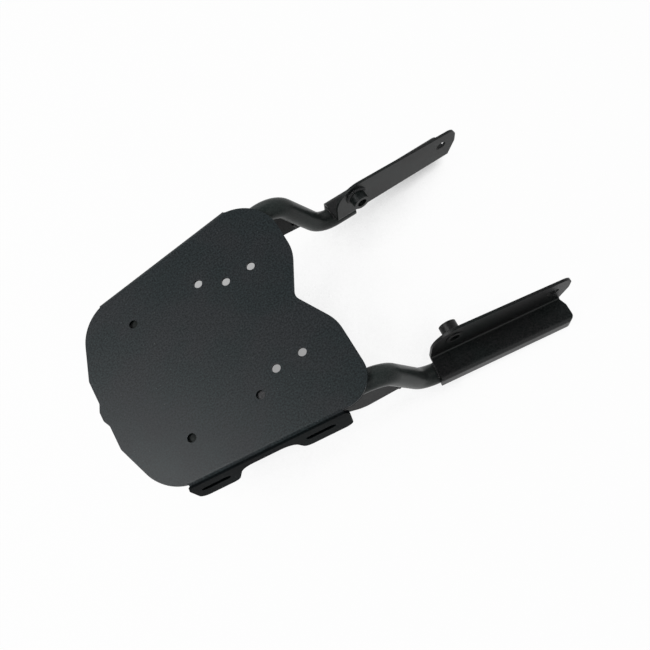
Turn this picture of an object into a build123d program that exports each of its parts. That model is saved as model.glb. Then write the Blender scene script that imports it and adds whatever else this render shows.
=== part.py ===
from build123d import *
import os
from math import cos, radians, sin, sqrt, tan

# Luggage rack for the tail of a motorcycle: a folded steel plate on a bent tube, with two folded arms.
# X runs forward, Y to the left and Z up, in millimetres. The origin is on the top face of the plate,
# in the middle of the four bolt holes that carry a top case. The right side mirrors the left.

# Sheet and tube
plate_sheet = 3.0
arm_sheet = 3.0
gusset_sheet = 4.0
cover_sheet = 2.0
fold_inside_radius = 2.0
tube_diameter = 21.3
tube_wall = 2.0
tube_bend_radius = 32.0

# Outline of the top plate, seen from above
plate_behind = 174.6
plate_ahead = 56.6
plate_half_width = 118.2
side_splay = 6.1
rear_edge_half = 38.0
rear_slant = 18.8
rear_kink_radius = 8.0
rear_corner_radius = 46.0
left_front_corner_radius = 44.0
right_front_corner_radius = 30.0
notch_depth = 22.2
notch_half_width = 42.6
notch_root_radius = 11.0
notch_shoulder_radius = 42.0
bump_depth = 3.3
bump_half_top = 5.0
bump_half_base = 12.5
bump_radius = 5.0

# Round holes in the top plate
bolt_hole = 8.5
drill_length = 12.0
case_bolts_length = 27.9
case_bolts_width = 102.3
outer_holes_inside_tube = 38.3
outer_front_holes = -38.2
outer_rear_holes = -111.6
cover_diameter = 20.0

# Folded sides of the plate, with two deep tabs each, measured along the fold and down from the top
fold_start = -134.5
fold_end = 18.0
fold_relief = 2.5
tab_overhang = 4.3
tab_depth = 48.0
side_depth = 18.3
rear_tab_length = 39.4
rear_tab_lean = 22.0
front_tab_length = 52.3
front_tab_lean = 12.8
front_tab_end_lean = 4.0
tab_foot_radius = 9.0
tab_shoulder_radius = 15.0
strap_slot_length = 29.5
strap_slot_height = 8.5
strap_slot_depth = 24.0
rear_slot_in = 22.7
front_slot_in = 32.2

# Frame tube, one loop that turns across under the rear of the plate
tube_side_gap = 8.0
tube_cross_run = -112.0
tube_upper_corner = 64.2
tube_lower_corner = 97.0
tube_drop = 92.2
tube_in_arm = 26.0

# Arms, folded to a Z section: wall up inside, level web, lip down outside
arm_pitch = 9.8
arm_splay = 4.3
arm_over_bend = 4.0
arm_seat_gap = 0.05
arm_length = 147.3
arm_hollow = 2.8
web_width = 26.0
web_corner_radius = 6.0
web_hollow_radius = 9.0
web_hollow_corner_radius = 4.5
lip_depth = 16.5
lip_corner_radius = 5.0
wall_height = 48.2
wall_taper = 3.3
wall_rear_radius = 27.0
wall_tip_overhang = 4.5
wall_tip_up = 20.0
wall_tip_radius = 10.0
arm_slot_length = 12.0
arm_slot_height = 8.5
arm_slot_behind_tip = 18.5
arm_slot_up = 24.5

# Bosses, welded through the walls of the arms
boss_diameter = 18.0
boss_bore = 10.5
boss_inside = 11.5
boss_outside = 1.2
boss_along = 23.5
boss_up = 29.0

# Gussets, in the inner corners of the steep bends; depths are below the top of the plate
gusset_start = -5.0
gusset_heel_depth = 32.0
gusset_knee = 34.0
gusset_knee_depth = 74.0
gusset_knee_radius = 25.0
gusset_toe_depth = 85.0

# Weld beads, each cut to the pieces that it joins; the bite is how deep a bead reaches into them
boss_weld = 3.0
bead_radius = 2.5
bead_bite = 0.5
stitch_length = 16.0
web_weld_width = 16.0
arm_weld_start = 7.0
run_stitches_spacing = 48.0
cross_stitches_spacing = 60.0
leg_stitch_depth = 73.0

fold_outside_radius = fold_inside_radius + plate_sheet
arm_outside_radius = fold_inside_radius + arm_sheet
tube_radius = tube_diameter / 2
tube_level = -plate_sheet - tube_radius
splay_rise = tan(radians(side_splay))
tube_half_spacing = (
    plate_half_width
    + tube_upper_corner * splay_rise
    - (plate_sheet + tube_side_gap + tube_radius) / cos(radians(side_splay))
)
outer_holes_y = tube_half_spacing - outer_holes_inside_tube
arm_slot_along = arm_length + wall_tip_overhang - arm_slot_behind_tip


def filleted_face(corners):
    """Closed face from corners given as (across, up, fillet radius)."""
    points = [(across, up) for across, up, radius in corners]
    radii = [radius for across, up, radius in corners]
    return make_face(FilletPolyline(*points, radius=radii, close=True).edges())


# The left side's outer face stands on this line; the fold runs along it.
side_plane = Plane(
    origin=(0, plate_half_width, 0),
    x_dir=(cos(radians(side_splay)), sin(radians(side_splay)), 0),
    z_dir=(sin(radians(side_splay)), -cos(radians(side_splay)), 0),
)


def make_plate_flat():
    """The flat top with its V in front, less the two bands that the folds take."""
    rear = -plate_behind
    slant_rise = 1 / tan(radians(rear_slant))
    side_y = plate_half_width - fold_relief
    corner_x = (side_y - rear_edge_half + rear * slant_rise) / (slant_rise - splay_rise)
    rear_half = [
        (rear - bump_depth, bump_half_top, bump_radius),
        (rear, bump_half_base, bump_radius),
        (rear, rear_edge_half, rear_kink_radius),
        (corner_x, side_y + corner_x * splay_rise, rear_corner_radius),
    ]
    front_corner = (plate_ahead, side_y + plate_ahead * splay_rise)
    shoulder = (plate_ahead, notch_half_width, notch_shoulder_radius)
    left = rear_half + [(*front_corner, left_front_corner_radius), shoulder]
    right = rear_half + [(*front_corner, right_front_corner_radius), shoulder]
    right = [(x, -y, radius) for x, y, radius in reversed(right)]
    outline = filleted_face(left + [(plate_ahead - notch_depth, 0, notch_root_radius)] + right)
    band_length = fold_end - fold_start
    band = side_plane * Pos(fold_start + band_length / 2, 0, 0) * Box(
        band_length, 2 * plate_sheet, 2 * fold_outside_radius
    )
    return extrude(outline, -plate_sheet) - band - mirror(band, Plane.XZ)


def make_left_side():
    """The left fold and the side below it, with its two slotted tabs."""
    rear_end = fold_start - tab_overhang
    front_end = fold_end + tab_overhang
    tab_top = -fold_outside_radius - tab_overhang
    rear_shoulder = rear_end + rear_tab_length + (tab_depth - side_depth) * tan(radians(rear_tab_lean))
    front_foot = front_end - front_tab_length
    front_shoulder = front_foot - (tab_depth - side_depth) * tan(radians(front_tab_lean))
    foot_end = front_end - tab_depth * tan(radians(front_tab_end_lean))
    outline = filleted_face([
        (fold_start, -fold_outside_radius, 0),
        (rear_end, tab_top, tab_foot_radius),
        (rear_end, -tab_depth, tab_foot_radius),
        (rear_end + rear_tab_length, -tab_depth, tab_foot_radius),
        (rear_shoulder, -side_depth, tab_shoulder_radius),
        (front_shoulder, -side_depth, tab_shoulder_radius),
        (front_foot, -tab_depth, tab_foot_radius),
        (foot_end, -tab_depth, tab_foot_radius),
        (front_end, tab_top, tab_foot_radius),
        (fold_end, -fold_outside_radius, 0),
    ])
    strap_slot = SlotOverall(strap_slot_length, strap_slot_height)
    outline -= Pos(rear_end + rear_slot_in, -strap_slot_depth) * strap_slot
    outline -= Pos(front_end - front_slot_in, -strap_slot_depth) * strap_slot
    side = side_plane * extrude(outline, plate_sheet)
    ring = Circle(fold_outside_radius) - Circle(fold_inside_radius)
    quarter = ring & Rectangle(
        fold_outside_radius, fold_outside_radius, align=(Align.MIN, Align.MIN)
    )
    fold_plane = Plane(
        origin=side_plane.from_local_coords((fold_start, -fold_outside_radius, fold_outside_radius)),
        x_dir=-side_plane.z_dir,
        z_dir=side_plane.x_dir,
    )
    return side + extrude(fold_plane * quarter, fold_end - fold_start)


def make_top_plate():
    left_side = make_left_side()
    plate = make_plate_flat() + left_side + mirror(left_side, Plane.XZ)
    drill = Cylinder(bolt_hole / 2, drill_length)
    case_x, case_y = case_bolts_length / 2, case_bolts_width / 2
    for x, y in [
        (case_x, case_y),
        (-case_x, case_y),
        (outer_front_holes, outer_holes_y),
        (outer_rear_holes, outer_holes_y),
    ]:
        plate -= Pos(x, y) * drill
        plate -= Pos(x, -y) * drill
    return plate


# The left half of the tube's corners: along the fold, down the steep leg, then forward in the arm.
arm_direction = Vector(
    cos(radians(arm_splay)) * cos(radians(arm_pitch)),
    sin(radians(arm_splay)) * cos(radians(arm_pitch)),
    -sin(radians(arm_pitch)),
)
upper_corner = Vector(tube_upper_corner, tube_half_spacing, tube_level)
lower_corner = Vector(tube_lower_corner, tube_half_spacing, tube_level - tube_drop)
rear_corner = Vector(
    tube_cross_run,
    tube_half_spacing + (tube_cross_run - tube_upper_corner) * splay_rise,
    tube_level,
)
lower_turn = (lower_corner - upper_corner).get_angle(arm_direction)
arm_start = tube_bend_radius * tan(radians(lower_turn / 2)) - arm_over_bend
tube_end = lower_corner + arm_direction * (arm_start + tube_in_arm)

# The arm's own axes: X along the arm, Y outward over the web, Z up the wall.
# Its origin is where the wall's outer face meets the top of the web, at the rear end.
arm_outward = Vector(-sin(radians(arm_splay)), cos(radians(arm_splay)), 0)
arm_up = arm_direction.cross(arm_outward)
bend_inner_radius = tube_bend_radius - tube_radius
bend_rise = bend_inner_radius - sqrt(bend_inner_radius**2 - arm_over_bend**2)
tube_out = web_width - arm_sheet - arm_seat_gap - tube_radius
tube_below = arm_sheet + arm_seat_gap + bend_rise + tube_radius
arm_origin = lower_corner + arm_direction * arm_start - arm_outward * tube_out + arm_up * tube_below
arm_plane = Plane(origin=arm_origin, x_dir=arm_direction, z_dir=arm_up)

# The wall's outer face, before the arm is placed; its normal points inward, through the wall.
wall_face = Plane(origin=(0, 0, 0), x_dir=(1, 0, 0), z_dir=(0, -1, 0))


def make_frame_tube(bore=True):
    """The whole loop, from the left arm round under the plate to the right arm."""
    left = [tube_end, lower_corner, upper_corner, rear_corner]
    right = [Vector(p.X, -p.Y, p.Z) for p in reversed(left)]
    route = FilletPolyline(*(left + right), radius=tube_bend_radius)
    start = Plane(origin=route @ 0, z_dir=route % 0)
    outside = sweep(start * Circle(tube_radius), path=route)
    if not bore:
        return outside
    return outside - sweep(start * Circle(tube_radius - tube_wall), path=route)


def make_left_gusset(tube_solid):
    """A flat plate that fills the inner corner of the steep bend, coped to the tube."""
    toe_share = (gusset_toe_depth + tube_level) / tube_drop
    toe_x = upper_corner.X + (lower_corner.X - upper_corner.X) * toe_share
    outline = filleted_face([
        (gusset_start, tube_level, 0),
        (upper_corner.X, tube_level, 0),
        (toe_x, -gusset_toe_depth, 0),
        (gusset_knee, -gusset_knee_depth, gusset_knee_radius),
        (gusset_start, -gusset_heel_depth, 0),
    ])
    middle = Plane(origin=(0, tube_half_spacing, 0), x_dir=(1, 0, 0), z_dir=(0, -1, 0))
    blank = middle * extrude(outline, gusset_sheet / 2, both=True)
    return (blank - tube_solid).solids().sort_by(SortBy.VOLUME)[-1]


def make_left_arm():
    """The Z section, trimmed by the outline of its wall and by that of its web and lip."""
    section = filleted_face([
        (-arm_sheet, wall_height, 0),
        (0, wall_height, 0),
        (0, 0, fold_inside_radius),
        (web_width, 0, arm_outside_radius),
        (web_width, -lip_depth, 0),
        (web_width - arm_sheet, -lip_depth, 0),
        (web_width - arm_sheet, -arm_sheet, fold_inside_radius),
        (-arm_sheet, -arm_sheet, arm_outside_radius),
    ])
    tip = arm_length + wall_tip_overhang
    tip_height = wall_height - tip * tan(radians(wall_taper))
    front_at_fold = arm_length - arm_hollow
    blank = extrude(Plane.YZ * section, tip)
    wall_outline = filleted_face([
        (0, -lip_depth, 0),
        (0, wall_height, wall_rear_radius),
        (tip, tip_height, wall_tip_radius),
        (tip, wall_tip_up, wall_tip_radius),
        (front_at_fold, fold_inside_radius, fold_inside_radius),
        (front_at_fold, -lip_depth, 0),
    ])
    wall_room = extrude(Plane.XZ.offset(-fold_inside_radius) * wall_outline, arm_outside_radius)
    lip_outline = filleted_face([
        (0, -lip_depth, 0),
        (0, wall_height, 0),
        (arm_length, wall_height, 0),
        (arm_length, -lip_depth, lip_corner_radius),
    ])
    web_outline = filleted_face([
        (0, fold_inside_radius, 0),
        (0, web_width, 0),
        (arm_length, web_width, web_corner_radius),
        (arm_length, web_hollow_radius, web_hollow_corner_radius),
        (front_at_fold, fold_inside_radius, 0),
    ])
    web_room = extrude(web_outline, wall_height, both=True) & extrude(Plane.XZ * lip_outline, -web_width)
    arm = (blank & wall_room) + (blank & web_room)
    arm -= extrude(wall_face * Pos(boss_along, boss_up) * Circle(boss_diameter / 2), arm_sheet)
    arm -= extrude(
        wall_face * Pos(arm_slot_along, arm_slot_up) * SlotOverall(arm_slot_length, arm_slot_height),
        arm_sheet,
    )
    return arm_plane * arm


def make_left_boss():
    ring = Circle(boss_diameter / 2) - Circle(boss_bore / 2)
    face = wall_face.offset(-boss_outside) * Pos(boss_along, boss_up)
    return arm_plane * extrude(face * ring, boss_outside + arm_sheet + boss_inside)


def make_hole_cover():
    """Disc under the plate that closes the right front outer hole."""
    middle = (outer_front_holes, -outer_holes_y, -plate_sheet - cover_sheet / 2)
    return Pos(*middle) * Cylinder(cover_diameter / 2, cover_sheet)


def make_left_boss_weld():
    """The ring of weld round the boss, on the inner face of the wall."""
    boss_radius = boss_diameter / 2
    ring = Torus(boss_radius, boss_weld) - Cylinder(boss_radius, 2 * boss_weld)
    above_wall = Cylinder(
        boss_radius + boss_weld, boss_weld, align=(Align.CENTER, Align.CENTER, Align.MIN)
    )
    return arm_plane * (wall_face.offset(arm_sheet) * Pos(boss_along, boss_up) * (ring & above_wall))


# A bead in the corner of the tube and a flat stands this far aside of the tube's axis.
bead_reach = bead_radius - bead_bite
bead_aside = sqrt((tube_radius + bead_reach) ** 2 - (tube_radius - bead_reach) ** 2)


def make_bead(across, up, length, joined):
    """A bead along X whose round section is cut to the sections of the pieces that it joins."""
    section = Pos(across, up) * Circle(bead_radius) - joined
    return extrude(Plane.YZ * section, length / 2, both=True)


def make_left_arm_welds():
    """Beads along the tube in the arm: one under the web, one at the foot of the lip."""
    length = tube_in_arm - arm_weld_start
    tube = Pos(tube_out, -tube_below) * Circle(tube_radius)
    web = Rectangle(2 * web_width, arm_sheet, align=(Align.CENTER, Align.MAX))
    above_lip = Pos(0, -lip_depth) * Rectangle(2 * web_width, lip_depth, align=(Align.CENTER, Align.MIN))
    under_web = make_bead(tube_out - bead_aside, -arm_sheet - bead_reach, length, tube + web)
    under_lip = make_bead(web_width - arm_sheet, -lip_depth, length, tube + above_lip)
    middle = Pos(arm_weld_start + length / 2, 0, 0)
    return Compound([arm_plane * middle * under_web, arm_plane * middle * under_lip])


def make_left_web_weld(tube_solid, left_arm):
    """The bead that saddles the tube at the rear end of the web."""
    room = Box(
        tube_diameter, web_weld_width, tube_diameter, align=(Align.CENTER, Align.CENTER, Align.MIN)
    )
    saddle = (Rot(0, 90, 0) * Torus(tube_radius, bead_radius)) & room
    return arm_plane * Pos(0, tube_out, -tube_below) * saddle - tube_solid - left_arm


def make_left_gusset_welds():
    """A stitch on each face of the gusset, where it meets the steep leg of the tube."""
    leg = (lower_corner - upper_corner).normalized()
    leg_share = (leg_stitch_depth + tube_level) / tube_drop
    leg_plane = Plane(
        origin=upper_corner + (lower_corner - upper_corner) * leg_share,
        x_dir=leg,
        z_dir=(leg.Z, 0, -leg.X),
    )
    aside = gusset_sheet / 2 + bead_reach
    under = sqrt((tube_radius + bead_reach) ** 2 - aside**2)
    joined = Circle(tube_radius) + Rectangle(gusset_sheet, 2 * tube_diameter)
    return Compound([
        leg_plane * make_bead(side * aside, under, stitch_length, joined) for side in (-1, 1)
    ])


def make_run_beads(places):
    """Stitches beside a run of the tube along X, between it and the plate above it."""
    plate = Pos(0, tube_radius) * Rectangle(2 * tube_diameter, plate_sheet, align=(Align.CENTER, Align.MIN))
    joined = Circle(tube_radius) + plate
    return [
        Pos(along, 0, 0) * make_bead(side * bead_aside, tube_radius - bead_reach, stitch_length, joined)
        for along, side in places
    ]


def make_left_run_welds():
    """Stitches on both sides of the run below the left side of the plate."""
    run = (upper_corner - rear_corner).normalized()
    run_plane = Plane(origin=(upper_corner + rear_corner) / 2, x_dir=run, z_dir=(0, 0, 1))
    half = run_stitches_spacing / 2
    beads = make_run_beads([(-2 * half, -1), (0, -1), (-half, 1), (half, 1)])
    return Compound([run_plane * bead for bead in beads])


def make_cross_welds():
    """Stitches on both sides of the run across the rear of the plate."""
    cross_plane = Plane(origin=(tube_cross_run, 0, tube_level), x_dir=(0, 1, 0), z_dir=(0, 0, 1))
    half = cross_stitches_spacing / 2
    beads = make_run_beads([(-half, -1), (half, -1), (0, 1)])
    return Compound([cross_plane * bead for bead in beads])


def main():
    tube_solid = make_frame_tube(bore=False)
    left_arm = make_left_arm()
    left_boss = make_left_boss()
    left_gusset = make_left_gusset(tube_solid)
    left_pieces = {
        "gusset": left_gusset,
        "arm": left_arm,
        "boss": left_boss,
        "boss_weld": make_left_boss_weld(),
        "arm_welds": make_left_arm_welds(),
        "web_weld": make_left_web_weld(tube_solid, left_arm),
        "gusset_welds": make_left_gusset_welds(),
        "run_welds": make_left_run_welds(),
    }
    pieces = {
        "top_plate": make_top_plate(),
        "frame_tube": make_frame_tube(),
        "cross_run_welds": make_cross_welds(),
        "right_hole_cover": make_hole_cover(),
    }
    for name, solid in left_pieces.items():
        pieces[f"left_{name}"] = solid
        pieces[f"right_{name}"] = mirror(solid, Plane.XZ)
    os.makedirs("parts", exist_ok=True)
    for name, solid in pieces.items():
        export_step(solid, f"parts/{name}.step")


main()
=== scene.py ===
# %% [markdown]
# # A motorcycle luggage rack in black powder coat
#
# The rack is a folded steel plate on a bent tube, with two folded arms that bolt to the
# motorcycle. Every piece is taken to wear the same kind of baked black powder. The solids
# come in as meshes that already have their sizes, so this lesson adds what a size cannot
# give: the camera, the studio and the finish. Its tones were chosen by comparing renders
# with a photograph, and where the text gives a reason for one, the photograph shows the tone
# and not the reason.

# %% Load the frame
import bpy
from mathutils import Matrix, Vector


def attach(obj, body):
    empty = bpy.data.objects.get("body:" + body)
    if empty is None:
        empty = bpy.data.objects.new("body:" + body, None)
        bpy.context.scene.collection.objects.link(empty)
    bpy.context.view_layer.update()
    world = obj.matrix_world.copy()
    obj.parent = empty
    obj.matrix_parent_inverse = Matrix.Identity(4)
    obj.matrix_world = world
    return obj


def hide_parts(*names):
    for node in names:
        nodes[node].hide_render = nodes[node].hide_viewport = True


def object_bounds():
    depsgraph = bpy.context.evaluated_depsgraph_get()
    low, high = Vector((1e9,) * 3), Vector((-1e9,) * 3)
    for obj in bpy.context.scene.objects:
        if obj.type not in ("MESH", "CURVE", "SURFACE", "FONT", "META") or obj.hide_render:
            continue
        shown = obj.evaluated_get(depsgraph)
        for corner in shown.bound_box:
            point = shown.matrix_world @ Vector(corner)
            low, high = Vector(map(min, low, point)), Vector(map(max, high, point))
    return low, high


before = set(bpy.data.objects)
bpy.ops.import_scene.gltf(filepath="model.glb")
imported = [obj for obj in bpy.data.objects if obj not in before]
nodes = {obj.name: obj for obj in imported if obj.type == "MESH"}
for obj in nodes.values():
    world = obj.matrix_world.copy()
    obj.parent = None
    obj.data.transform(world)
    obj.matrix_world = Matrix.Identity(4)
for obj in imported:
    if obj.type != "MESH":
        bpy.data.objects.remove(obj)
print("pieces of the rack:", ", ".join(sorted(nodes)))

# %% [markdown]
# A box drawn round the rack before anything is added is the measure of the whole lesson.

# %% Measure the bare rack
import math

import bmesh
import bpy
from mathutils import Quaternion, Vector

bare_low, bare_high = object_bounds()
print("bare rack, length, width and height in mm:",
      [round(1000 * side) for side in bare_high - bare_low])

# %% [markdown]
# ## The camera
#
# The camera stands over the rack's right side and is rolled, so the rack runs up the
# picture at a slant. A camera can be aimed by hand with three angles, but those
# say nothing to a reader. Here it gets the place it stands in, the point it looks at and its
# roll, and the angles follow from them. The rack sat a little off the middle of the lens,
# which the shift of the sensor gives without turning the view.

# %% Set up the camera
camera_place = Vector((0.0500, -0.3437, 0.7641))
camera_target = Vector((0.0415, 0.0009, 0.0))
camera_roll = math.radians(-33.46)
picture_width = 650
focal_length_in_pixels = 900
sensor_width = 36
sensor_shift_across = 0.0383
sensor_shift_up = -0.0520
nearest_seen = 0.02

lens = bpy.data.cameras.new("studio_camera")
lens.sensor_width = sensor_width
lens.lens = sensor_width * focal_length_in_pixels / picture_width
lens.shift_x = sensor_shift_across
lens.shift_y = sensor_shift_up
lens.clip_start = nearest_seen
camera = bpy.data.objects.new("studio_camera", lens)
bpy.context.scene.collection.objects.link(camera)
camera.location = camera_place
camera.rotation_mode = "QUATERNION"
level_view = (camera_target - camera_place).to_track_quat("-Z", "Y")
camera.rotation_quaternion = level_view @ Quaternion((0, 0, 1), camera_roll)
bpy.context.scene.camera = camera
print("lens", round(lens.lens, 1), "mm, standing",
      round((camera_target - camera_place).length, 2), "m from the plate")

# %% [markdown]
# ## Shader maths as plain expressions
#
# A finish is easier to read as sums than as a picture of wires. The small class below wraps
# one output of a node. Adding or multiplying two of them makes the Math node that does it,
# and the reflected forms let a plain number stand on the left, as in 1 - mask.
# A second class holds the nodes of one material and makes every other kind of node.

# %% Wrap a socket
class Signal:
    """One output of a shader node, for use in expressions."""

    def __init__(self, paint, socket):
        self.paint = paint
        self.socket = socket

    def maths(self, operation, first, second):
        return self.paint.node("ShaderNodeMath", {"operation": operation}, {0: first, 1: second})

    def __add__(self, other):
        return self.maths("ADD", self, other)

    def __radd__(self, other):
        return self.maths("ADD", other, self)

    def __sub__(self, other):
        return self.maths("SUBTRACT", self, other)

    def __rsub__(self, other):
        return self.maths("SUBTRACT", other, self)

    def __mul__(self, other):
        return self.maths("MULTIPLY", self, other)

    def __rmul__(self, other):
        return self.maths("MULTIPLY", other, self)


# %% Hold the nodes of one material
class Paint:
    """The node tree of one material or of the world."""

    def __init__(self, tree):
        self.tree = tree
        tree.nodes.clear()

    def node(self, kind, settings=None, sockets=None, output=0):
        """Makes one node: its settings first, then the values or links of its sockets."""
        made = self.tree.nodes.new(kind)
        for name, value in (settings or {}).items():
            setattr(made, name, value)
        for name, value in (sockets or {}).items():
            if isinstance(value, Signal):
                self.tree.links.new(value.socket, made.inputs[name])
            else:
                made.inputs[name].default_value = value
        return Signal(self, made.outputs[output]) if made.outputs else None

    def mix_colours(self, share, first, second):
        """The first colour where share is 0 and the second where it is 1."""
        return self.node("ShaderNodeMix", {"data_type": "RGBA"},
                         {0: share, 6: first, 7: second}, output=2)

    def between(self, value, low, high):
        """0 where value is under low, 1 where it is over high, smooth between."""
        return self.node("ShaderNodeMapRange", {"interpolation_type": "SMOOTHSTEP"},
                         {"Value": value, "From Min": low, "From Max": high})


def new_material(name):
    material = bpy.data.materials.new(name)
    material.use_nodes = True
    return material, Paint(material.node_tree)


# %% [markdown]
# ## The studio
#
# The studio is a white sweep, and the sweep does half the work: black powder hardly scatters
# light, so what gives it form is the white ground that it mirrors in its tube flanks and cut
# edges. The floor is a wide white disc whose rim turns up into a wall, so
# there is a white ground in every direction. Its colour is a pale grey that catches the
# shadow, and for the eye of the camera and for mirrored rays most of it glows at a strength
# of one, which is white.
#
# A floor that glows everywhere would show no shade at all, and the bolt holes would look
# like dots of white paint. So the glow fades where the rack covers the floor: the Ambient
# Occlusion node tells how open the sky is above a place. The camera looks through the bolt
# holes at the floor below the plate, from the middle to the left edge, and there a painted
# soft patch takes both the glow and the grey down further, so that the holes are as grey as
# in the photograph. From other sides the patch shows as a darker place on the floor, though
# no lamp casts it.

# %% Turn the floor and its rim
floor_gap = 0.0005
floor_height = bare_low.z - floor_gap
floor_flat_radius = 2.2
floor_rim_radius = 1.0
floor_wall_top = 2.6
floor_sides = 96
rim_steps = 12

floor_profile = [(0.0, 0.0), (floor_flat_radius, 0.0)]
for step in range(1, rim_steps + 1):
    angle = math.pi / 2 * step / rim_steps
    floor_profile.append((floor_flat_radius + floor_rim_radius * math.sin(angle),
                          floor_rim_radius * (1 - math.cos(angle))))
floor_profile.append((floor_flat_radius + floor_rim_radius, floor_wall_top))

floor_mesh = bmesh.new()
floor_rings = []
for radius, height in floor_profile[1:]:
    floor_rings.append([
        floor_mesh.verts.new((radius * math.cos(2 * math.pi * side / floor_sides),
                              radius * math.sin(2 * math.pi * side / floor_sides),
                              floor_height + height))
        for side in range(floor_sides)])
floor_mesh.faces.new(floor_rings[0])
for lower_ring, upper_ring in zip(floor_rings, floor_rings[1:]):
    for side in range(floor_sides):
        following = (side + 1) % floor_sides
        floor_mesh.faces.new((lower_ring[side], lower_ring[following],
                              upper_ring[following], upper_ring[side])).smooth = True
floor_data = bpy.data.meshes.new("studio_floor")
floor_mesh.to_mesh(floor_data)
floor_mesh.free()
floor = bpy.data.objects.new("studio_floor", floor_data)
bpy.context.scene.collection.objects.link(floor)
print("floor at", round(1000 * floor_height, 1), "mm, faces", len(floor_data.polygons))

# %% Paint the floor white
floor_grey = (0.60, 0.60, 0.60, 1)
patch_grey = (0.24, 0.24, 0.24, 1)
floor_white = (1.0, 1.0, 1.0, 1)
floor_glow_share = 0.97
floor_glow_under_rack = 0.32
shade_reach = 0.30
shade_samples = 8
shade_full, shade_gone = 0.20, 0.55
patch_behind, patch_behind_fade = -0.125, 0.060
patch_ahead, patch_ahead_fade = 0.031, 0.019
patch_right, patch_right_fade = -0.085, 0.060
patch_left, patch_left_fade = 0.195, 0.045

floor_material, floor_paint = new_material("white_sweep")
glow = floor_paint.node("ShaderNodeEmission", sockets={"Color": floor_white, "Strength": 1.0})
openness = floor_paint.node("ShaderNodeAmbientOcclusion", {"samples": shade_samples},
                            {"Distance": shade_reach}, output="AO")
floor_place = floor_paint.node("ShaderNodeTexCoord", output="Object")
floor_forward, floor_sideways = (
    floor_paint.node("ShaderNodeSeparateXYZ", sockets={0: floor_place}, output=axis)
    for axis in "XY")
patch = (
    floor_paint.between(floor_forward, patch_behind, patch_behind + patch_behind_fade)
    * (1 - floor_paint.between(floor_forward, patch_ahead - patch_ahead_fade, patch_ahead))
    * floor_paint.between(floor_sideways, patch_right, patch_right + patch_right_fade)
    * (1 - floor_paint.between(floor_sideways, patch_left - patch_left_fade, patch_left)))
paper = floor_paint.node("ShaderNodeBsdfDiffuse", sockets={
    "Color": floor_paint.mix_colours(patch, floor_grey, patch_grey)})
open_floor = floor_paint.between(openness, shade_full, shade_gone) * (1 - patch)
seen = floor_paint.node("ShaderNodeLightPath")
mirrored = floor_paint.node("ShaderNodeLightPath", output="Is Glossy Ray")
through = floor_paint.node("ShaderNodeLightPath", output="Is Transmission Ray")
glow_share = (seen + mirrored + through) * (
    open_floor * (floor_glow_share - floor_glow_under_rack) + floor_glow_under_rack)
floor_look = floor_paint.node("ShaderNodeMixShader",
                              sockets={0: glow_share, 1: paper, 2: glow})
floor_paint.node("ShaderNodeOutputMaterial", sockets={"Surface": floor_look})
floor_data.materials.append(floor_material)
print("floor material", floor_material.name, "with",
      len(floor_paint.tree.nodes), "nodes")

# %% [markdown]
# The light is one strong softbox high behind the rack and two wider, weaker ones at its
# sides that open the shadows. Seen from the camera, the plate would mirror the strong one a
# little beyond its rear right corner, and that is why that corner is the palest and the
# front is nearly black. The sky is a dim even grey, as in a dark studio.

# %% Hang the lamps
studio_lamps = {
    "rear_softbox": {"place": (-0.98, 0.20, 1.82), "size": 0.8, "power": 32},
    "left_fill": {"place": (0.7, 1.9, 1.1), "size": 1.4, "power": 8},
    "right_fill": {"place": (0.6, -2.0, 1.2), "size": 1.4, "power": 6},
}
lamp_target = Vector((0.0, 0.0, -0.05))

for lamp_name, facts in studio_lamps.items():
    light = bpy.data.lights.new(lamp_name, "AREA")
    light.shape = "SQUARE"
    light.size = facts["size"]
    light.energy = facts["power"]
    lamp = bpy.data.objects.new(lamp_name, light)
    bpy.context.scene.collection.objects.link(lamp)
    lamp.location = facts["place"]
    lamp.rotation_mode = "QUATERNION"
    lamp.rotation_quaternion = (lamp_target - lamp.location).to_track_quat("-Z", "Y")
    print(lamp_name, "at", facts["place"], "with", facts["power"], "W")

# %% Light the sky
sky_colour = (0.95, 0.98, 1.0, 1)
sky_strength = 0.22

world = bpy.data.worlds.new("studio_sky")
world.use_nodes = True
bpy.context.scene.world = world
sky_paint = Paint(world.node_tree)
sky = sky_paint.node("ShaderNodeBackground",
                     sockets={"Color": sky_colour, "Strength": sky_strength})
sky_paint.node("ShaderNodeOutputWorld", sockets={"Surface": sky})
bpy.context.scene.view_settings.view_transform = "Standard"
print("sky strength", sky_strength)

# %% [markdown]
# ## Black powder coat
#
# Powder is sprayed dry and baked until it flows. Up close the skin is not flat: it has the
# skin of an orange, with ripples about two millimetres across and a finer grain between
# them. The black is never quite even. Every few centimetres it drifts between a greener and
# a warmer grey, and a few motes of dust baked into it show as pale specks.
#
# An image could hold all that, but it would need wrapping round folds and tubes. The
# patterns here are worked out in space instead, at the real scale of the coat, so the grain
# runs over an edge as it does on the real rack. Powder thins on sharp edges and rounds them,
# which a bevelled normal gives without touching the mesh.

# %% Lay the grain of the powder
drift_scale, drift_edges = 17.0, (0.38, 0.62)
ripple_scale = 430.0
grain_scale, grain_edges = 620.0, (0.34, 0.66)
mote_scale, mote_edges = 260.0, (0.08, 0.13)
mote_patch_scale, mote_patch_edges = 95.0, (0.62, 0.68)
mote_colour = (0.13, 0.14, 0.14, 1)
mote_strength = 0.35
drift_in_roughness = 0.03
grain_in_roughness = 0.10
ripple_in_skin = 0.5


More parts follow.
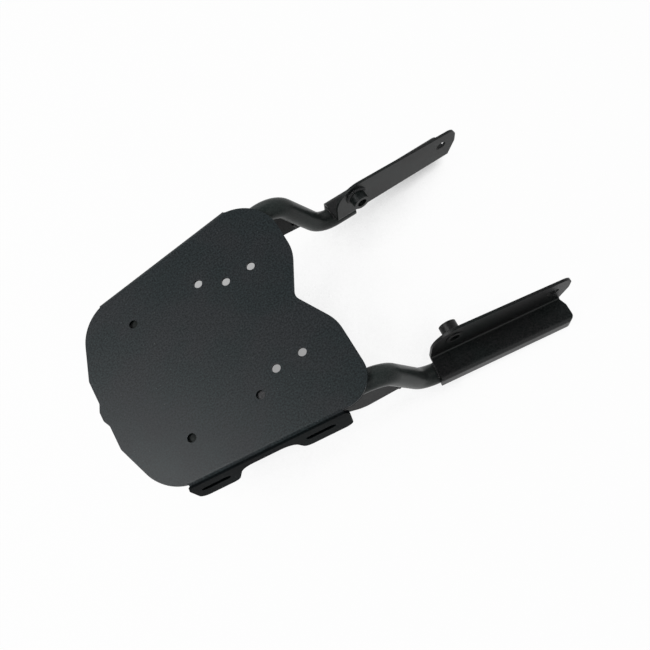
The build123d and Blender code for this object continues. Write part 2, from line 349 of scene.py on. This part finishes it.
def powder_grain(paint, dark, pale, warm):
    """The speckled black of baked powder, and the height of its skin, in space."""
    place = paint.node("ShaderNodeTexCoord", output="Object")
    drift = paint.node("ShaderNodeTexNoise", sockets={
        "Vector": place, "Scale": drift_scale, "Detail": 3.0, "Roughness": 0.55})
    ripple = paint.node("ShaderNodeTexNoise", sockets={
        "Vector": place, "Scale": ripple_scale, "Detail": 2.0, "Roughness": 0.5})
    grain = paint.node("ShaderNodeTexNoise", sockets={
        "Vector": place, "Scale": grain_scale, "Detail": 3.0, "Roughness": 0.7})
    motes = paint.node("ShaderNodeTexVoronoi", sockets={
        "Vector": place, "Scale": mote_scale}, output="Distance")
    mote_patch = paint.node("ShaderNodeTexNoise", sockets={
        "Vector": place, "Scale": mote_patch_scale, "Detail": 0.0})

    cloud = paint.between(drift, *drift_edges)
    pepper = paint.between(grain, *grain_edges)
    mote = 1 - paint.between(motes, *mote_edges)
    speck = mote * paint.between(mote_patch, *mote_patch_edges)
    mean_unevenness = (drift_in_roughness + grain_in_roughness) / 2
    black = paint.mix_colours(pepper, dark, paint.mix_colours(cloud, pale, warm))
    return {
        "place": place,
        "black": paint.mix_colours(speck * mote_strength, black, mote_colour),
        "unevenness": (cloud * drift_in_roughness + pepper * grain_in_roughness
                       - mean_unevenness),
        "skin": ripple * ripple_in_skin + grain * (1 - ripple_in_skin),
    }


# %% Bake the powder
edge_radius = 0.0006
edge_samples = 4
coat_ior = 1.5


def baked(paint, colour, roughness, gloss, skin, skin_height):
    """The shader of a coat whose sharp edges are rounded and whose skin is slightly rough."""
    rounded = paint.node("ShaderNodeBevel", {"samples": edge_samples}, {"Radius": edge_radius})
    bumped = paint.node("ShaderNodeBump", sockets={
        "Strength": 1.0, "Distance": skin_height, "Height": skin, "Normal": rounded})
    return paint.node("ShaderNodeBsdfPrincipled", sockets={
        "Base Color": colour, "Roughness": roughness, "Normal": bumped,
        "IOR": coat_ior, "Specular IOR Level": gloss})


def powder_coat(name, dark, pale, warm, roughness, gloss, skin_height):
    """A coat that is the same all over its piece."""
    material, paint = new_material(name)
    grain = powder_grain(paint, dark, pale, warm)
    coat = baked(paint, grain["black"], grain["unevenness"] + roughness, gloss,
                 grain["skin"], skin_height)
    paint.node("ShaderNodeOutputMaterial", sockets={"Surface": coat})
    return material


# %% [markdown]
# In the photograph the plate's folded side is less than half as bright as its top. So what
# lies below the top gets painted shade: a blacker colour under a rougher coat that mirrors
# little, and that takes in the walls of the holes and the cut edges. One node has one
# material here, so the two coats are two shaders, and the height chooses between them.

# %% Coat the plate
plate_dark = (0.0000, 0.0020, 0.0030, 1)
plate_pale = (0.0130, 0.0218, 0.0240, 1)
plate_warm = (0.0175, 0.0208, 0.0240, 1)
satin_roughness, satin_gloss = 0.42, 0.28
shaded_side_roughness, shaded_side_gloss = 0.62, 0.02
sheet_skin = 0.00006
side_shade_share = 0.65
side_shade_colour = (0.0010, 0.0014, 0.0014, 1)
side_shade_below = -0.0006
side_shade_fade = 0.0012

plate_coat, plate_paint = new_material("plate_powder_coat")
plate_grain = powder_grain(plate_paint, plate_dark, plate_pale, plate_warm)
satin_coat = baked(plate_paint, plate_grain["black"],
                   plate_grain["unevenness"] + satin_roughness, satin_gloss,
                   plate_grain["skin"], sheet_skin)
# Painted shade: below the top, the plate's black is mixed towards a near-black.
side_shade_black = plate_paint.mix_colours(side_shade_share, plate_grain["black"], side_shade_colour)
shaded_side_coat = baked(plate_paint, side_shade_black, plate_grain["unevenness"] + shaded_side_roughness, shaded_side_gloss,
                 plate_grain["skin"], sheet_skin)
upward = plate_paint.node("ShaderNodeSeparateXYZ", sockets={0: plate_grain["place"]},
                          output="Z")
lowered = 1 - plate_paint.between(upward, side_shade_below - side_shade_fade, side_shade_below)
plate_paint.node("ShaderNodeOutputMaterial", sockets={
    "Surface": plate_paint.node("ShaderNodeMixShader", sockets={
        0: lowered, 1: satin_coat, 2: shaded_side_coat})})
print("plate coat with", len(plate_paint.tree.nodes), "nodes")

# %% [markdown]
# The tube gets a smoother coat than the plate, because its highlights are sharper, but not
# where it runs below the plate. There a smooth coat would send a gleam up through the closed
# holes that look down on it, and the photograph shows none, so it turns rough and dark.

# %% Coat the tube
tube_dark = (0.0190, 0.0250, 0.0235, 1)
tube_pale = (0.0330, 0.0400, 0.0380, 1)
tube_warm = (0.0365, 0.0385, 0.0375, 1)
tube_open_from = 0.030
tube_open_fade = 0.015
tube_roughness, tube_gloss, tube_skin = 0.34, 0.115, 0.00003
tube_shaded_share = 0.55
tube_shaded_roughness = 0.28
tube_shaded_black = (0.0040, 0.0040, 0.0038, 1)

tube_coat, tube_paint = new_material("tube_powder_coat")
tube_grain = powder_grain(tube_paint, tube_dark, tube_pale, tube_warm)
forward = tube_paint.node("ShaderNodeSeparateXYZ", sockets={0: tube_grain["place"]},
                          output="X")
# Painted shade: below the plate, the tube's black is mixed towards a darker black and its coat is
# made rougher.
below_plate = 1 - tube_paint.between(forward, tube_open_from, tube_open_from + tube_open_fade)
tube_paint.node("ShaderNodeOutputMaterial", sockets={"Surface": baked(
    tube_paint,
    tube_paint.mix_colours(below_plate * tube_shaded_share, tube_grain["black"],
                           tube_shaded_black),
    tube_grain["unevenness"] + tube_roughness + below_plate * tube_shaded_roughness,
    tube_gloss, tube_grain["skin"], tube_skin)})
print("tube coat with", len(tube_paint.tree.nodes), "nodes")

# %% [markdown]
# The cover below the closed hole is as satin as the top and paler, which makes up for the
# shade of the well that it lies in. The gussets sit behind the tube, dull, and the arms are
# nearly as black. The welds get the smoothest coat beside the tube's, so that their scales
# catch the light.
#
# Each coat is a recipe: three greys for the grain, how rough it is, how much it mirrors, and
# how high its ripples stand.

# %% Coat the other pieces
coat_recipes = {
    # The cover's paler greys are painted light that makes up for the shade of its well.
    "cover": {"dark": (0.0180, 0.0190, 0.0200, 1), "pale": (0.0480, 0.0500, 0.0520, 1),
              "warm": (0.0540, 0.0520, 0.0540, 1),
              "roughness": satin_roughness, "gloss": satin_gloss, "skin_height": sheet_skin},
    "gusset": {"dark": (0.0020, 0.0030, 0.0030, 1), "pale": (0.0100, 0.0110, 0.0115, 1),
               "warm": (0.0115, 0.0105, 0.0110, 1),
               "roughness": 0.52, "gloss": 0.08, "skin_height": 0.00004},
    "arm": {"dark": (0.0000, 0.0012, 0.0010, 1), "pale": (0.0105, 0.0140, 0.0135, 1),
            "warm": (0.0130, 0.0125, 0.0130, 1),
            "roughness": 0.42, "gloss": 0.25, "skin_height": sheet_skin},
    "bead": {"dark": (0.0040, 0.0050, 0.0050, 1), "pale": (0.0140, 0.0150, 0.0155, 1),
             "warm": (0.0150, 0.0140, 0.0150, 1),
             "roughness": 0.34, "gloss": 0.28, "skin_height": 0.00002},
}
coats = {name: powder_coat(f"{name}_powder_coat", **recipe)
         for name, recipe in coat_recipes.items()}

coat_of_family = {"plate": plate_coat, "cover": coats["cover"], "tube": tube_coat,
                  "gusset": coats["gusset"], "arm": coats["arm"], "boss": coats["arm"],
                  "weld": coats["bead"], "welds": coats["bead"]}
for piece_name, piece in sorted(nodes.items()):
    coat = coat_of_family[piece_name.split("_")[-1]]
    piece.data.materials.clear()
    piece.data.materials.append(coat)
    print(piece_name, "wears", coat.name)

# %% [markdown]
# ## Welds
#
# A weld is laid drop after drop, and each drop freezes as a small scale over the one before
# it. The solids hold only plain round beads, so each is laid again here with its scales. A
# picture of scales in the normal would do from afar, but a bead stands proud, and its
# scalloped outline is what the eye reads as a weld.
#
# A bead is a stack of rings along its seam. Each ring's reach swells and dips once a drop,
# and the crown of the ring is a little ahead of its foot, which bows the scales forward.

# %% Lay a bead
scale_pitch = 0.0018
rings_in_scale = 7
scale_depth = 0.20
scale_bow = 0.0009
bead_sides = 16
end_taper = 0.0022
end_reach = 0.35


def scale_swell(distance):
    """The share of the bead's radius at a distance along it: full at the middle of a drop."""
    from_middle = 2 * ((distance / scale_pitch) % 1.0) - 1
    return 1 - scale_depth * from_middle ** 2


def lay_bead(shell, stations, step, radius, closed):
    """Adds one bead to the shell; each station is a middle, a way along and a crown."""
    length = step * (len(stations) - 1)
    rings = []
    for number, (middle, onward, crown) in enumerate(stations):
        distance = number * step
        to_end = min(distance, length - distance) / end_taper
        share = 1.0
        if not closed and to_end < 1:
            share = end_reach + (1 - end_reach) * math.sqrt(1 - (1 - to_end) ** 2)
        across = onward.cross(crown)
        ring = []
        for side in range(bead_sides):
            angle = 2 * math.pi * side / bead_sides
            reach = radius * share * scale_swell(distance + scale_bow * math.cos(angle))
            ring.append(shell.verts.new(
                middle + reach * (crown * math.cos(angle) + across * math.sin(angle))))
        rings.append(ring)
    following_rings = rings[1:] + rings[:1] if closed else rings[1:]
    for ring, following in zip(rings, following_rings):
        for side in range(bead_sides):
            beside = (side + 1) % bead_sides
            shell.faces.new((ring[side], ring[beside],
                             following[beside], following[side])).smooth = True
    if not closed:
        shell.faces.new(rings[0])
        shell.faces.new(rings[-1])


# %% [markdown]
# A seam is straight, or it is a part of a circle. Either one gives its stations, and both
# are cut into whole drops, so that a ring of weld closes on itself without a jump.

# %% Walk along a seam
def straight_seam(middle, onward, length, crown):
    """Stations along a straight bead, centred on its middle."""
    count = round(length / scale_pitch) * rings_in_scale
    stations = [(middle + onward * length * (number / count - 0.5), onward, crown)
                for number in range(count + 1)]
    return stations, length / count, False


def round_seam(middle, right, up, radius, half_angle, lean):
    """Stations round a circle, from -half_angle to half_angle about up; lean tilts the crown."""
    length = 2 * half_angle * radius
    count = round(length / scale_pitch) * rings_in_scale
    closed = half_angle >= math.pi
    stations = []
    for number in range(count if closed else count + 1):
        angle = half_angle * (2 * number / count - 1)
        outward_here = right * math.sin(angle) + up * math.cos(angle)
        onward = right * math.cos(angle) - up * math.sin(angle)
        stations.append((middle + outward_here * radius, onward,
                         (outward_here + lean).normalized()))
    return stations, scale_pitch / rings_in_scale, closed


# %% [markdown]
# The seams follow the joints of the left side. The tube's corners and the arm's rear corner
# are where the solids have them, in metres, and the right side is the left side mirrored.

# %% Place the seams of the left side
tube_radius = 0.01065
bead_radius = 0.0024
bead_offset = 0.0020
bead_out = tube_radius + bead_offset
bead_up = tube_radius - bead_offset
bead_aside = math.sqrt(bead_out ** 2 - bead_up ** 2)
stitch_length = 0.016
upward_axis = Vector((0, 0, 1))

upper_corner = Vector((0.0642, 0.10329, -0.01365))
lower_corner = Vector((0.0970, 0.10329, -0.10585))
rear_corner = Vector((-0.1120, 0.08446, -0.01365))

arm_corner = Vector((0.11478, 0.09229, -0.09448))
arm_onward = Vector((0.98263, 0.07388, -0.17021))
arm_outward = Vector((-0.07498, 0.99719, 0.0))
arm_upward = Vector((0.16973, 0.01276, 0.98541))
tube_out, tube_below = 0.0123, 0.01408


def in_arm(onward, outward, upward):
    return arm_corner + arm_onward * onward + arm_outward * outward + arm_upward * upward


def aside(axis_point, point, wall_normal):
    """The crown of a bead between the tube and a flat, pointing away from both."""
    return ((point - axis_point).normalized() + wall_normal).normalized()


def beside_run(middle, onward, places):
    """Stitches between a run of the tube and the plate; each place is along and a side."""
    seams = []
    for along, side in places:
        axis_point = middle + onward * along
        point = axis_point + upward_axis.cross(onward) * side * bead_aside + upward_axis * bead_up
        crown = aside(axis_point, point, -upward_axis)
        seams.append(straight_seam(point, onward, stitch_length, crown))
    return seams


# %% Seams of the tube
leg_stitch_length = 0.008
leg_stitch_share = 0.565
leg_stitch_aside = 0.0038
leg_stitch_inward = 0.0112
run_stitches_spacing = 0.048
cross_stitches_spacing = 0.060

leg_onward = (lower_corner - upper_corner).normalized()
leg_point = upper_corner + (lower_corner - upper_corner) * leg_stitch_share
leg_inward = Vector((leg_onward.z, 0, -leg_onward.x))
leg_seams = []
for side in (-1, 1):
    gusset_normal = Vector((0, side, 0))
    point = leg_point + gusset_normal * leg_stitch_aside + leg_inward * leg_stitch_inward
    leg_seams.append(straight_seam(point, leg_onward, leg_stitch_length,
                                   aside(leg_point, point, gusset_normal)))
left_run_seams = beside_run((upper_corner + rear_corner) / 2,
                            (upper_corner - rear_corner).normalized(),
                            [(-run_stitches_spacing, -1), (0, -1),
                             (-run_stitches_spacing / 2, 1), (run_stitches_spacing / 2, 1)])
cross_run_seams = beside_run(Vector((rear_corner.x, 0, rear_corner.z)), Vector((0, 1, 0)),
                             [(-cross_stitches_spacing / 2, -1),
                              (cross_stitches_spacing / 2, -1), (0, 1)])

# %% Seams of the arm
arm_weld_start, arm_weld_end = 0.007, 0.026
web_bead_depth = 0.0050
lip_bead_out, lip_bead_depth = 0.0230, 0.0165
web_ring_half_angle = math.radians(46)
web_ring_gap = 0.0002
boss_along, boss_inside, boss_up = 0.0235, 0.0030, 0.0290
boss_ring_radius = 0.0092

arm_weld_middle = (arm_weld_start + arm_weld_end) / 2
arm_tube = in_arm(arm_weld_middle, tube_out, -tube_below)
under_web = in_arm(arm_weld_middle, tube_out - bead_aside, -web_bead_depth)
under_lip = in_arm(arm_weld_middle, lip_bead_out, -lip_bead_depth)
arm_seams = [
    straight_seam(under_web, arm_onward, arm_weld_end - arm_weld_start,
                  aside(arm_tube, under_web, -arm_upward)),
    straight_seam(under_lip, arm_onward, arm_weld_end - arm_weld_start,
                  aside(arm_tube, under_lip, -arm_upward)),
]
web_seams = [round_seam(in_arm(0, tube_out, -tube_below), arm_outward, arm_upward,
                        tube_radius + web_ring_gap, web_ring_half_angle, -arm_onward)]
boss_seams = [round_seam(in_arm(boss_along, -boss_inside, boss_up), arm_onward, arm_upward,
                         boss_ring_radius, math.pi, -arm_outward)]

# %% Build the beads and let them stand for the plain ones
def build_beads(node_name, seams, radius, mirrored):
    shell = bmesh.new()
    for stations, step, closed in seams:
        lay_bead(shell, stations, step, radius, closed)
    if mirrored:
        for vertex in shell.verts:
            vertex.co.y = -vertex.co.y
    bmesh.ops.recalc_face_normals(shell, faces=shell.faces)
    data = bpy.data.meshes.new(f"laid_{node_name}")
    shell.to_mesh(data)
    shell.free()
    data.materials.append(coats["bead"])
    beads = bpy.data.objects.new(f"laid_{node_name}", data)
    bpy.context.scene.collection.objects.link(beads)
    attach(beads, "root")
    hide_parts(node_name)
    print(beads.name, "with", len(seams), "beads and", len(data.polygons), "faces")


leg_bead_share, web_bead_share, boss_bead_share = 0.85, 0.9, 1.15

build_beads("cross_run_welds", cross_run_seams, bead_radius, False)
for side in ("left", "right"):
    mirrored = side == "right"
    build_beads(f"{side}_run_welds", left_run_seams, bead_radius, mirrored)
    build_beads(f"{side}_gusset_welds", leg_seams, bead_radius * leg_bead_share, mirrored)
    build_beads(f"{side}_arm_welds", arm_seams, bead_radius, mirrored)
    build_beads(f"{side}_web_weld", web_seams, bead_radius * web_bead_share, mirrored)
    build_beads(f"{side}_boss_weld", boss_seams, bead_radius * boss_bead_share, mirrored)
